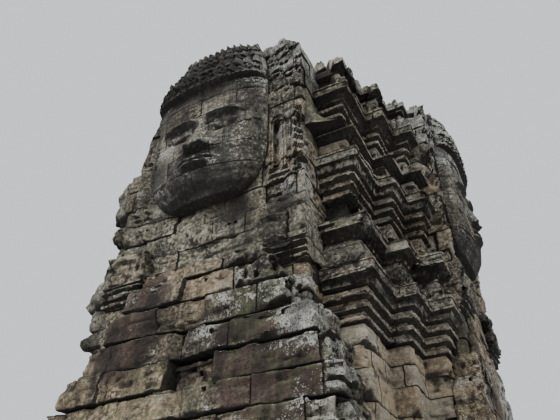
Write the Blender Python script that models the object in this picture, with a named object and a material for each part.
"""Four-faced Khmer temple tower of dry-laid sandstone.

Metres, +Z up. The origin is the centre of the base, on the ground. The front looks to -Y.
Each side has a doorway, a pediment over it and a giant head above that. Stepped corners with
stacked cornices stand between the sides, and a lotus crown closes the top. The upper part of
the front left corner has fallen.
"""
import math

import bmesh
import bpy
from mathutils import Matrix, Vector

# Seams between touching stones
SEAM = 0.0003

# Plan: half widths of the bodies that carry the heads, and the steps of the corners between
# them. The steps are counted from the front body toward the side body.
FRONT_BODY_HALF_WIDTH = 1.55
SIDE_BODY_HALF_WIDTH = 1.30
STEP_ONE_WIDTH = 0.47
STEP_TWO_WIDTH = 0.28
STEP_THREE_WIDTH = 0.30
STEP_THREE_DEPTH = 0.30
STEP_TWO_DEPTH = 0.56
STEP_ONE_DEPTH = 0.84
FRONT_BODY_DEPTH = 0.50
SIDE_BODY_DEPTH = 0.24
FRONT_WALL_THICKNESS = 1.60
LEAN_PER_METRE = 0.045

# Porch: pilasters and pediment that stand in front of each side
PORCH_OVERHANG = 0.46
FRONT_PORCH_THICKNESS = 0.26
SIDE_PORCH_THICKNESS = 0.17
PILASTER_WIDTH = 0.86

# Doorway
DOOR_WIDTH = 1.10
DOOR_JAMB_WIDTH = 0.25
DOOR_SILL_HEIGHT = 0.12
DOOR_CLEAR_HEIGHT = 2.02
DOOR_BEAM_HEIGHT = 0.56
DOOR_FRAME_THICKNESS = 0.50
COLONNETTE_RADIUS = 0.07
LINTEL_HEIGHT = 0.52
LINTEL_RECESS = 0.04

# Heights of the storeys, from the ground up
PLINTH_HEIGHT = 0.45
PLINTH_REACH = 0.22
FLOOR_THICKNESS = 0.10
BASE_MOULDING_HEIGHT = 0.52
BASE_MOULDING_REACH = 0.16
LOWER_WALL_HEIGHT = 4.71
FRIEZE_HEIGHT = 0.36
FRIEZE_REACH = 0.08
NECK_CORNICE_HEIGHT = 0.34
MIDDLE_WALL_HEIGHT = 0.46
BLOCK_BAND_HEIGHT = 0.34
LEDGE_HEIGHT = 0.08
HIGH_WALL_HEIGHT = 0.46
STUB_TIER_HEIGHT = 0.63
TOP_TIER_HEIGHT = 0.35
BODY_CHAMFER_WIDTH = 0.30

# Cornice
CORNICE_REACH = 0.26
ROLL_HEIGHT = 0.09
ROLL_STEP = 0.045
QUIRK_HEIGHT = 0.04
QUIRK_DEPTH = 0.035
LEDGE_DROP_HEIGHT = 0.008
SOFFIT_HEIGHT = 0.12
FASCIA_HEIGHT = 0.20

# Pediment: a stack of courses. Each is set back from the one below, and from the third course on
# each is narrower on both hands.
PEDIMENT_COURSE_HEIGHT = 0.40
PEDIMENT_COURSES = 6
PEDIMENT_SETBACK = 0.022
PEDIMENT_NARROWING = 0.24

# Head: its foot lies above the lower storey, and its crown rises above the body. The chin
# and the thirds of the face are shares of the head's height.
HEAD_FOOT_HEIGHT = 1.34
HEAD_RISE_HEIGHT = 0.12
HEAD_COLUMNS = 26
HEAD_ROWS = 34
HEAD_EDGE_THICKNESS = 0.05
CHIN = 0.02
FACE_THIRD = 0.226
FRONT_HEAD_HALF_WIDTH = 1.06
SIDE_HEAD_HALF_WIDTH = 0.92
FRONT_HEAD_THICKNESS = 0.40
SIDE_HEAD_THICKNESS = 0.32

# Vault of corbelled courses over the room
VAULT_SPRING_HEIGHT = 1.04
VAULT_COURSE_HEIGHT = 0.40
VAULT_STEP_WIDTH = 0.36

# Crown: rings of petals, each of which has the same number of sides
CROWN_BASE_HEIGHT = 0.52
CROWN_BASE_RADIUS = 2.50
LOTUS_HEIGHT = 1.16
LOTUS_RADIUS = 2.00
LOTUS_PETALS = 24
LOTUS_PETAL_DEPTH = 0.07
BUD_HEIGHT = 0.84
BUD_RADIUS = 1.00
BUD_PETALS = 16
BUD_PETAL_DEPTH = 0.05
PETAL_SIDES = 4
CROWN_BASE_SIDES = 32
CROWN_STRETCH = 1.10

# Fallen corner: what lies outside a slanting plane across the front left corner is gone
BREAK_HEIGHT = 2.44
BREAK_REACH = 3.46
BREAK_SLOPE = 8.0

# Values that follow from the sizes above
STEP_ONE_HALF_WIDTH = FRONT_BODY_HALF_WIDTH + STEP_ONE_WIDTH
STEP_TWO_HALF_WIDTH = STEP_ONE_HALF_WIDTH + STEP_TWO_WIDTH
STEP_THREE_HALF_WIDTH = STEP_TWO_HALF_WIDTH + STEP_THREE_WIDTH
SIDE_BODY_HALF_DEPTH = STEP_THREE_HALF_WIDTH + SIDE_BODY_DEPTH
STEP_THREE_HALF_DEPTH = SIDE_BODY_HALF_WIDTH + STEP_THREE_DEPTH
STEP_TWO_HALF_DEPTH = STEP_THREE_HALF_DEPTH + STEP_TWO_DEPTH
STEP_ONE_HALF_DEPTH = STEP_TWO_HALF_DEPTH + STEP_ONE_DEPTH
FRONT_BODY_HALF_DEPTH = STEP_ONE_HALF_DEPTH + FRONT_BODY_DEPTH
DOOR_HALF_WIDTH = DOOR_WIDTH / 2
OPENING_HALF_WIDTH = DOOR_HALF_WIDTH + DOOR_JAMB_WIDTH
OPENING_TOP = PLINTH_HEIGHT + DOOR_SILL_HEIGHT + DOOR_CLEAR_HEIGHT + DOOR_BEAM_HEIGHT
LOWER_TOP = PLINTH_HEIGHT + LOWER_WALL_HEIGHT
ROLL_PITCH = ROLL_HEIGHT + QUIRK_HEIGHT

SANDSTONE = (0.31, 0.27, 0.21)
PALE_STONE = (0.36, 0.33, 0.28)
DARK_STONE = (0.20, 0.18, 0.15)

SIDES = (("front", 0), ("right", 90), ("back", 180), ("left", 270))
CORNERS = (
    ("front_right", 1, -1), ("back_right", 1, 1), ("back_left", -1, 1), ("front_left", -1, -1),
)
FALLEN_CORNER = "front_left"


def clear_scene():
    for item in list(bpy.data.objects):
        bpy.data.objects.remove(item, do_unlink=True)


def make_collection(name):
    collection = bpy.data.collections.new(name)
    bpy.context.scene.collection.children.link(collection)
    return collection


def stone_material(name, colour, roughness=0.92):
    material = bpy.data.materials.new(name)
    material.use_nodes = True
    shader = material.node_tree.nodes["Principled BSDF"]
    shader.inputs["Base Color"].default_value = (*colour, 1.0)
    shader.inputs["Roughness"].default_value = roughness
    shader.inputs["Metallic"].default_value = 0.0
    return material


def add_object(name, bm, colour, collection, turn=0):
    """Turn a bmesh into a named object with its own stone material."""
    bmesh.ops.recalc_face_normals(bm, faces=bm.faces)
    mesh = bpy.data.meshes.new(name)
    bm.to_mesh(mesh)
    bm.free()
    mesh.materials.append(stone_material(name + "_stone", colour))
    item = bpy.data.objects.new(name, mesh)
    item.rotation_euler = (0.0, 0.0, math.radians(turn))
    collection.objects.link(item)
    return item


def stack_outlines(levels):
    """Close a solid through a list of outlines, each a list of points with equal counts."""
    bm = bmesh.new()
    lid = bm.faces.new([bm.verts.new(point) for point in levels[0]])
    for number, outline in enumerate(levels[1:]):
        grown = bmesh.ops.extrude_face_region(bm, geom=[lid])["geom"]
        if number > 0:
            bmesh.ops.delete(bm, geom=[lid], context="FACES_ONLY")
        lid = next(item for item in grown if isinstance(item, bmesh.types.BMFace))
        for vert, point in zip(lid.verts, outline):
            vert.co = point
    return bm


def prism(outline, bottom, top):
    return stack_outlines([[(x, y, z) for x, y in outline] for z in (bottom, top)])


def combine(target, other, operation):
    """Apply an exact Boolean of one object on another, and drop the second."""
    modifier = target.modifiers.new(operation.title(), "BOOLEAN")
    modifier.operation = operation
    modifier.solver = "EXACT"
    modifier.object = other
    graph = bpy.context.evaluated_depsgraph_get()
    graph.update()
    mesh = bpy.data.meshes.new_from_object(target.evaluated_get(graph))
    target.modifiers.clear()
    target.data = mesh
    bpy.data.objects.remove(other, do_unlink=True)


def sloped(profile):
    """Give each level ledge of a profile a small fall, so that rain runs off."""
    points = [profile[0]]
    for height, reach in profile[1:]:
        points.append((max(height, points[-1][0] + LEDGE_DROP_HEIGHT), reach))
    return points


def cornice(top, rolls):
    """Profile of a cornice from below: rolls that step outward, a soffit and a fascia."""
    height = top - FASCIA_HEIGHT - SOFFIT_HEIGHT - rolls * ROLL_PITCH
    points = []
    for number in range(rolls):
        reach = ROLL_STEP * (number + 1)
        points += [(height, reach - ROLL_STEP), (height, reach)]
        points += [(height + ROLL_HEIGHT, reach), (height + ROLL_HEIGHT, reach - QUIRK_DEPTH)]
        height += ROLL_PITCH
    points += [(height, rolls * ROLL_STEP), (height + SOFFIT_HEIGHT, CORNICE_REACH)]
    return sloped(points + [(top, CORNICE_REACH)])


def base_moulding(bottom):
    """Profile of the moulding at the foot of a wall."""
    shares = ((0.0, 1.0), (0.24, 1.0), (0.32, 0.6), (0.48, 0.6), (0.56, 0.9), (0.70, 0.9),
              (0.78, 0.4), (1.0, 0.4), (1.0, 0.0))
    points = [(bottom + h * BASE_MOULDING_HEIGHT, p * BASE_MOULDING_REACH) for h, p in shares]
    return sloped(points)


def upper_profile(bottom):
    """Profile of the upper storeys, which lean inward, from the frieze to the top tier."""
    z = bottom
    points = [(z, FRIEZE_REACH * 0.6), (z + FRIEZE_HEIGHT, FRIEZE_REACH)]
    z += FRIEZE_HEIGHT + NECK_CORNICE_HEIGHT
    points += cornice(z, 0)[1:] + [(z + 0.01, 0.0)]
    z += MIDDLE_WALL_HEIGHT + 3 * ROLL_PITCH + SOFFIT_HEIGHT + FASCIA_HEIGHT
    points += cornice(z, 3) + [(z + 0.01, FRIEZE_REACH)]
    z += BLOCK_BAND_HEIGHT
    points += [(z, FRIEZE_REACH), (z, CORNICE_REACH)]
    z += LEDGE_HEIGHT
    points += [(z, CORNICE_REACH), (z, 0.05)]
    z += HIGH_WALL_HEIGHT
    points += [(z - HIGH_WALL_HEIGHT / 2, 0.0)]
    z += 2 * ROLL_PITCH + SOFFIT_HEIGHT + FASCIA_HEIGHT
    points += cornice(z, 2)
    wall = STUB_TIER_HEIGHT - FASCIA_HEIGHT
    points += [(z, CORNICE_REACH / 2), (z + wall, CORNICE_REACH / 2), (z + wall, CORNICE_REACH)]
    z += STUB_TIER_HEIGHT
    points += [(z, CORNICE_REACH), (z, 0.0), (z + TOP_TIER_HEIGHT, 0.0)]
    return sloped([(height, p - LEAN_PER_METRE * (height - bottom)) for height, p in points])


BODY_TOP = upper_profile(LOWER_TOP)[-1][0]


class Side:
    """Sizes of one side of the tower, in its own frame: outward is -Y."""

    def __init__(self, name, turn):
        front = name in ("front", "back")
        self.name = name
        self.turn = turn
        self.half = FRONT_BODY_HALF_WIDTH if front else SIDE_BODY_HALF_WIDTH
        self.plane = FRONT_BODY_HALF_DEPTH if front else SIDE_BODY_HALF_DEPTH
        self.inner = FRONT_BODY_HALF_WIDTH + SEAM
        if front:
            self.inner = FRONT_BODY_HALF_DEPTH - FRONT_WALL_THICKNESS
        self.step_plane = STEP_ONE_HALF_DEPTH if front else STEP_THREE_HALF_WIDTH
        self.head_half = FRONT_HEAD_HALF_WIDTH if front else SIDE_HEAD_HALF_WIDTH
        self.head_thickness = FRONT_HEAD_THICKNESS if front else SIDE_HEAD_THICKNESS
        self.vaulted = front
        self.wall_half = self.half - SEAM if front else self.half
        self.porch_half = self.half + PORCH_OVERHANG
        thickness = FRONT_PORCH_THICKNESS if front else SIDE_PORCH_THICKNESS
        self.porch_plane = self.plane + thickness


def build_plinth(collection, front, right):
    """Moulded base that follows the porches and the corners."""
    def outline(z, e):
        corner = (
            (front.porch_half + e, front.porch_plane + e),
            (front.porch_half + e, STEP_TWO_HALF_DEPTH + e),
            (STEP_TWO_HALF_WIDTH + e, STEP_TWO_HALF_DEPTH + e),
            (STEP_TWO_HALF_WIDTH + e, right.porch_half + e),
            (right.porch_plane + e, right.porch_half + e),
        )
        points = [(x, -y, z) for x, y in corner]
        points += [(x, y, z) for x, y in reversed(corner)]
        points += [(-x, y, z) for x, y in corner]
        points += [(-x, -y, z) for x, y in reversed(corner)]
        return points

    shares = ((0.0, 1.36), (0.27, 1.36), (0.31, 1.0), (0.49, 0.73), (0.62, 0.73), (0.71, 1.0),
              (1.0, 1.0))
    bm = stack_outlines([outline(h * PLINTH_HEIGHT, e * PLINTH_REACH) for h, e in shares])
    return add_object("base_plinth", bm, DARK_STONE, collection)


def build_floor(collection, front):
    """Paving of the room, let in between the walls."""
    inset = 4 * SEAM
    x = FRONT_BODY_HALF_WIDTH - inset
    y = front.inner - inset
    low = PLINTH_HEIGHT + SEAM
    bm = prism([(-x, -y), (x, -y), (x, y), (-x, y)], low, low + FLOOR_THICKNESS)
    return add_object("room_floor", bm, DARK_STONE, collection)


def corner_outline(sign_x, sign_y, z, p, beside_porch):
    """Stepped outline of one corner, grown outward by p."""
    points = (
        (FRONT_BODY_HALF_WIDTH + SEAM, STEP_ONE_HALF_DEPTH + beside_porch),
        (STEP_ONE_HALF_WIDTH + p, STEP_ONE_HALF_DEPTH + beside_porch),
        (STEP_ONE_HALF_WIDTH + p, STEP_TWO_HALF_DEPTH + p),
        (STEP_TWO_HALF_WIDTH + p, STEP_TWO_HALF_DEPTH + p),
        (STEP_TWO_HALF_WIDTH + p, STEP_THREE_HALF_DEPTH + p),
        (STEP_THREE_HALF_WIDTH + beside_porch, STEP_THREE_HALF_DEPTH + p),
        (STEP_THREE_HALF_WIDTH + beside_porch, SIDE_BODY_HALF_WIDTH + SEAM),
        (FRONT_BODY_HALF_WIDTH + SEAM, SIDE_BODY_HALF_WIDTH + SEAM),
    )
    return [(sign_x * x, sign_y * y, z) for x, y in points]


def build_lower_corner(collection, name, sign_x, sign_y):
    """Stepped corner of the lower storey, from the base moulding to the first cornice."""
    base = base_moulding(PLINTH_HEIGHT + SEAM)
    levels = [corner_outline(sign_x, sign_y, z, p, 0.0) for z, p in base]
    levels += [corner_outline(sign_x, sign_y, z, p, p) for z, p in cornice(LOWER_TOP, 3)]
    return add_object("lower_corner_" + name, stack_outlines(levels), SANDSTONE, collection)


def build_upper_corner(collection, name, sign_x, sign_y):
    """Stepped corner of the upper storeys, with three cornices."""
    profile = upper_profile(LOWER_TOP + SEAM)
    levels = [corner_outline(sign_x, sign_y, z, p, p) for z, p in profile]
    corner = add_object("upper_corner_" + name, stack_outlines(levels), PALE_STONE, collection)
    if name == FALLEN_CORNER:
        cut_fallen_corner(corner, collection)
    return corner


def cut_fallen_corner(target, collection):
    """Cut away what has fallen from the upper part of the front left corner."""
    size = 4.0
    bm = bmesh.new()
    bmesh.ops.create_cube(bm, size=size)
    bmesh.ops.translate(bm, verts=bm.verts, vec=(0.0, -size / 2, size / 2))
    bmesh.ops.rotate(bm, verts=bm.verts, matrix=Matrix.Rotation(math.radians(-BREAK_SLOPE), 3, "X"))
    bmesh.ops.translate(bm, verts=bm.verts, vec=(0.0, -BREAK_REACH, LOWER_TOP + BREAK_HEIGHT))
    bmesh.ops.rotate(bm, verts=bm.verts, matrix=Matrix.Rotation(math.radians(-45.0), 3, "Z"))
    combine(target, add_object("fallen_cutter", bm, SANDSTONE, collection), "DIFFERENCE")


def build_door_wall(collection, side, hand, sign):
    """Wall beside a doorway, with the pilaster that stands in front of it."""
    pilaster = side.porch_half - PILASTER_WIDTH
    points = (
        (OPENING_HALF_WIDTH, side.inner), (side.wall_half, side.inner),
        (side.wall_half, side.step_plane + SEAM), (side.porch_half, side.step_plane + SEAM),
        (side.porch_half, side.porch_plane), (pilaster, side.porch_plane),
        (pilaster, side.plane), (OPENING_HALF_WIDTH, side.plane),
    )
    outline = [(sign * x, -y) for x, y in points]
    bm = prism(outline, PLINTH_HEIGHT + SEAM, OPENING_TOP)
    return add_object(f"{side.name}_door_wall_{hand}", bm, SANDSTONE, collection, side.turn)


def build_over_door(collection, side):
    """Wall over a doorway, up to the first cornice."""
    half = side.wall_half
    outline = [(-half, -side.plane), (half, -side.plane), (half, -side.inner), (-half, -side.inner)]
    bm = prism(outline, OPENING_TOP + SEAM, LOWER_TOP)
    return add_object(f"{side.name}_wall_over_door", bm, SANDSTONE, collection, side.turn)


def build_door_frame(collection, side):
    """Sill, jambs and beam of a doorway, with a round colonnette before each jamb."""
    outer = OPENING_HALF_WIDTH - SEAM
    low = PLINTH_HEIGHT + SEAM
    sill = low + DOOR_SILL_HEIGHT
    clear = sill + DOOR_CLEAR_HEIGHT
    high = OPENING_TOP - SEAM
    back = -(side.plane - DOOR_FRAME_THICKNESS)
    outline = [(-outer, low), (outer, low), (outer, high), (-outer, high)]
    bm = stack_outlines([[(x, y, z) for x, z in outline] for y in (-side.plane, back)])
    frame = add_object(f"{side.name}_door_frame", bm, PALE_STONE, collection)
    hole = [(-DOOR_HALF_WIDTH, sill), (DOOR_HALF_WIDTH, sill), (DOOR_HALF_WIDTH, clear),
            (-DOOR_HALF_WIDTH, clear)]
    ends = (-side.plane - DOOR_FRAME_THICKNESS, back + DOOR_FRAME_THICKNESS)
    bm = stack_outlines([[(x, y, z) for x, z in hole] for y in ends])
    combine(frame, add_object("doorway_cutter", bm, PALE_STONE, collection), "DIFFERENCE")
    height = OPENING_TOP - LINTEL_HEIGHT - low - SEAM
    for sign in (-1, 1):
        bm = bmesh.new()
        place = Vector((sign * (outer - COLONNETTE_RADIUS * 1.2),
                        -side.plane - COLONNETTE_RADIUS * 0.8, low + height / 2))
        bmesh.ops.create_cone(bm, cap_ends=True, segments=12, radius1=COLONNETTE_RADIUS,
                              radius2=COLONNETTE_RADIUS, depth=height,
                              matrix=Matrix.Translation(place))
        combine(frame, add_object("colonnette", bm, PALE_STONE, collection), "UNION")
    frame.rotation_euler = (0.0, 0.0, math.radians(side.turn))
    return frame


def build_lintel(collection, side):
    """Lintel slab that lies on the colonnettes, between the pilasters."""
    half = side.porch_half - PILASTER_WIDTH - SEAM
    front = side.porch_plane - LINTEL_RECESS
    back = side.plane + SEAM
    outline = [(-half, -front), (half, -front), (half, -back), (-half, -back)]
    bm = prism(outline, OPENING_TOP - LINTEL_HEIGHT + SEAM, OPENING_TOP)
    face = [edge for edge in bm.edges if all(vert.co.y < -front + SEAM for vert in edge.verts)]
    bmesh.ops.bevel(bm, geom=face, offset=LINTEL_RECESS, segments=2, affect="EDGES", profile=0.5)
    return add_object(f"{side.name}_lintel", bm, PALE_STONE, collection, side.turn)


def pediment_half(side, course):
    """Half width of a pediment course, counted from below."""
    return side.porch_half - max(course - 1, 0) * PEDIMENT_NARROWING


def build_pediment(collection, side):
    """Gable of large courses over the doorway, stepped in toward its top."""
    low = OPENING_TOP + SEAM
    back = side.step_plane + SEAM
    levels = []
    for course in range(PEDIMENT_COURSES):
        half = pediment_half(side, course)
        front = side.porch_plane - course * PEDIMENT_SETBACK
        outline = [(-half, -front), (half, -front), (half, -back), (-half, -back)]
        foot = low + course * PEDIMENT_COURSE_HEIGHT
        head = foot + PEDIMENT_COURSE_HEIGHT
        ledge = foot + LEDGE_DROP_HEIGHT if levels else foot
        levels += [[(x, y, z) for x, y in outline] for z in (ledge, head)]
    bm = stack_outlines(levels)
    pediment = add_object(f"{side.name}_pediment", bm, SANDSTONE, collection)
    high = low + PEDIMENT_COURSES * PEDIMENT_COURSE_HEIGHT
    half = side.half + SEAM
    front = side.plane + SEAM
    body = [(-half, -front), (half, -front), (half, 0.0), (-half, 0.0)]
    bm = prism(body, low - PEDIMENT_COURSE_HEIGHT, high + PEDIMENT_COURSE_HEIGHT)
    combine(pediment, add_object("body_cutter", bm, SANDSTONE, collection), "DIFFERENCE")
    cornice_foot = cornice(LOWER_TOP, 3)[0][0] - SEAM
    reach = side.step_plane + CORNICE_REACH + SEAM
    for sign in (-1, 1):
        inner = sign * side.half
        outer = sign * (side.porch_half + PORCH_OVERHANG)
        block = [(inner, -reach), (outer, -reach), (outer, 0.0), (inner, 0.0)]
        bm = prism(block, cornice_foot, high + PEDIMENT_COURSE_HEIGHT)
        combine(pediment, add_object("cornice_cutter", bm, SANDSTONE, collection), "DIFFERENCE")
    pediment.rotation_euler = (0.0, 0.0, math.radians(side.turn))
    return pediment


def build_face_body(collection, side):
    """Wall that carries a head, with corbelled courses inside on the front and the back."""
    low = LOWER_TOP + SEAM
    inner = side.inner
    steps = [(low, inner)]
    if side.vaulted:
        height = LOWER_TOP + VAULT_SPRING_HEIGHT
        while inner > SEAM:
            steps.append((height, inner))
            inner = max(inner - VAULT_STEP_WIDTH, SEAM)
            steps.append((height, inner))
            height += VAULT_COURSE_HEIGHT
    steps.append((BODY_TOP, inner))
    profile = [(-side.plane, low)] + [(-y, z) for z, y in steps] + [(-side.plane, BODY_TOP)]
    half = side.wall_half
    bm = stack_outlines([[(x, y, z) for y, z in profile] for x in (-half, half)])
    shoulders = [edge for edge in bm.edges
                 if all(vert.co.z > BODY_TOP - SEAM for vert in edge.verts)
                 and edge.verts[0].co.x * edge.verts[1].co.x > 0]
    bmesh.ops.bevel(bm, geom=shoulders, offset=BODY_CHAMFER_WIDTH, segments=1, affect="EDGES")
    body = add_object(f"{side.name}_face_body", bm, SANDSTONE, collection)
    if side.name == "front":
        cut_fallen_corner(body, collection)
    body.rotation_euler = (0.0, 0.0, math.radians(side.turn))
    return body


def hump(value, centre, width):
    return math.exp(-((value - centre) / width) ** 2)


def rise(value, low, high):
    share = min(max((value - low) / (high - low), 0.0), 1.0)
    return share * share * (3.0 - 2.0 * share)


def head_width(v):
    """Share of the head's half width at height share v, from the jaw to the crown."""
    jaw = 0.50 + 0.50 * math.sqrt(1.0 - (1.0 - min(v / 0.26, 1.0)) ** 2)
    crown = math.sqrt(max(0.0, 1.0 - (max(v - 0.66, 0.0) / 0.42) ** 2))
    return jaw * (0.35 + 0.65 * crown)


def head_relief(u, v):
    """Depth of a calm, broad face with a headdress, as a share of the head's thickness.

    u runs from -1 to 1 across the head and v from 0 under the chin to 1 at the crown. The
    face is made in equal thirds: chin to nose foot, nose foot to brow, brow to hairline. It
    is five eyes wide.
    """
    side = abs(u)
    nose_foot = CHIN + FACE_THIRD
    brow = nose_foot + FACE_THIRD
    hairline = brow + FACE_THIRD
    eye = brow - 0.26 * FACE_THIRD
    mouth = nose_foot - 0.36 * FACE_THIRD
    depth = 0.78 * (1.0 - side ** 2.6) ** 0.5
    depth *= 0.55 + 0.45 * rise(v, CHIN - 0.04, CHIN + 0.09)
    bridge = rise(v, nose_foot - 0.014, nose_foot + 0.016) * (1.0 - rise(v, nose_foot, brow))
    width = 0.11 + 0.09 * (1.0 - rise(v, nose_foot, nose_foot + 0.45 * FACE_THIRD))
    depth += 0.34 * bridge * hump(u, 0.0, width)
    depth += 0.11 * hump(v, brow, 0.026) * hump(side, 0.36, 0.30)
    depth -= 0.15 * hump(v, eye, 0.042) * hump(side, 0.40, 0.22)
    depth += 0.13 * hump(v, eye, 0.025) * hump(side, 0.40, 0.18)
    depth += 0.15 * hump(v, mouth, 0.042) * hump(u, 0.0, 0.36)
    depth -= 0.10 * hump(v, mouth, 0.011) * hump(u, 0.0, 0.38)
    depth += 0.08 * hump(v, CHIN + 0.05, 0.034) * hump(u, 0.0, 0.20)
    depth += 0.14 * hump(side, 0.94, 0.05) * hump(v, (nose_foot + brow) / 2, 0.14)
    depth += 0.12 * rise(v, hairline, hairline + 0.015) * (1.0 - rise(v, 0.77, 0.79))
    depth += 0.06 * rise(v, 0.78, 0.80) * (1.0 - rise(v, 0.86, 0.88))
    depth -= 0.70 * rise(v, 0.70, 1.05)
    return max(depth, 0.0)


def build_head(collection, side):
    """Giant head in relief, as a grid pressed out from the wall and closed at its back."""
    bm = bmesh.new()
    bmesh.ops.create_grid(bm, x_segments=HEAD_COLUMNS, y_segments=HEAD_ROWS, size=1.0)
    back = -side.plane - SEAM
    foot = LOWER_TOP + HEAD_FOOT_HEIGHT
    height = BODY_TOP + HEAD_RISE_HEIGHT - foot
    for vert in bm.verts:
        u = vert.co.x
        v = (vert.co.y + 1.0) / 2
        x = u * side.head_half * head_width(v)
        y = back - HEAD_EDGE_THICKNESS - side.head_thickness * head_relief(u, v)
        vert.co = (x, y, foot + v * height)
    rim = [edge for edge in bm.edges if edge.is_boundary]
    grown = bmesh.ops.extrude_edge_only(bm, edges=rim)["geom"]
    for item in grown:
        if isinstance(item, bmesh.types.BMVert):
            item.co.y = back
    loop = [item for item in grown if isinstance(item, bmesh.types.BMEdge)]
    bmesh.ops.contextual_create(bm, geom=loop)
    return add_object(f"{side.name}_head", bm, PALE_STONE, collection, side.turn)


def petal_gap(share, across):
    """Gap beside a petal, from 0 on the petal to 1 outside it.

    share runs from 0 at the petal's root to 1 at its tip, and across from 0 on its middle line
    to 1 halfway to the next petal.
    """
    edge = (1.0 - share ** 2.2) ** 0.5
    return rise(across, edge - 0.22, edge)


def petal_share(rows, height):
    """Share of a petal at a height, and its row's shift. A row has a root, a tip and a shift."""
    for root, tip, shift in rows:
        share = (height - root) / (tip - root)
        if 0.0 <= share <= 1.0:
            return share, shift
    return 1.0, 0


def crown_ring(sides, radius, depth, share, shift, z):
    """Ring of points, sunk by depth between the petals."""
    points = []
    for number in range(sides):
        step = (number + shift * PETAL_SIDES // 2) % PETAL_SIDES
        across = 1.0 - abs(2.0 * step / PETAL_SIDES - 1.0)
        reach = radius - depth * petal_gap(share, across)
        angle = 2.0 * math.pi * number / sides
        points.append((reach * math.cos(angle), CROWN_STRETCH * reach * math.sin(angle), z))
    return points


def build_crown(collection):
    """Round crown: a stepped base, three rings of lotus petals and a bud.

    Profiles are shares of the radius and the height, from below.
    """
    base = ((1.0, 0.0), (1.0, 0.34), (0.96, 0.52), (0.90, 0.62), (0.90, 0.78), (0.86, 1.0))
    lotus = ((0.84, 0.0), (0.87, 0.04), (0.91, 0.09), (0.96, 0.16), (1.0, 0.24), (1.0, 0.30),
             (1.0, 0.36), (0.96, 0.42), (0.92, 0.48), (0.84, 0.51), (0.78, 0.53), (0.74, 0.58),
             (0.775, 0.65), (0.81, 0.72), (0.80, 0.80), (0.77, 0.87), (0.73, 0.92), (0.70, 0.96),
             (0.58, 1.0))
    bud = ((0.80, 0.0), (0.89, 0.08), (0.95, 0.15), (0.98, 0.21), (0.99, 0.25), (1.0, 0.28),
           (0.99, 0.32), (0.95, 0.42), (0.87, 0.51), (0.79, 0.58), (0.75, 0.61), (0.72, 0.64),
           (0.50, 0.80), (0.30, 0.92), (0.14, 1.0))
    lotus_rows = ((0.30, 0.01, 0), (0.30, 0.53, 0), (0.58, 0.96, 1))
    bud_rows = ((0.0, 0.28, 0), (0.32, 0.64, 1))
    parts = (
        ("crown_base", base, CROWN_BASE_RADIUS, CROWN_BASE_HEIGHT, CROWN_BASE_SIDES, 0.0, (),
         DARK_STONE),
        ("lotus_crown", lotus, LOTUS_RADIUS, LOTUS_HEIGHT, LOTUS_PETALS * PETAL_SIDES,
         LOTUS_PETAL_DEPTH, lotus_rows, PALE_STONE),
        ("crown_bud", bud, BUD_RADIUS, BUD_HEIGHT, BUD_PETALS * PETAL_SIDES,
         BUD_PETAL_DEPTH, bud_rows, DARK_STONE),
    )
    low = BODY_TOP + SEAM
    for name, profile, radius, height, sides, depth, rows, colour in parts:
        levels = [crown_ring(sides, r * radius, depth, *petal_share(rows, h), low + h * height)
                  for r, h in profile]
        add_object(name, stack_outlines(levels), colour, collection)
        low += height + SEAM


def main():
    clear_scene()
    collection = make_collection("four_faced_temple_tower")
    sides = [Side(name, turn) for name, turn in SIDES]
    front, right = sides[0], sides[1]
    build_plinth(collection, front, right)
    build_floor(collection, front)
    for name, sign_x, sign_y in CORNERS:
        build_lower_corner(collection, name, sign_x, sign_y)
        build_upper_corner(collection, name, sign_x, sign_y)
    for side in sides:
        build_door_wall(collection, side, "left", -1)
        build_door_wall(collection, side, "right", 1)
        build_over_door(collection, side)
        build_door_frame(collection, side)
        build_lintel(collection, side)
        build_pediment(collection, side)
        build_face_body(collection, side)
        build_head(collection, side)
    build_crown(collection)


main()
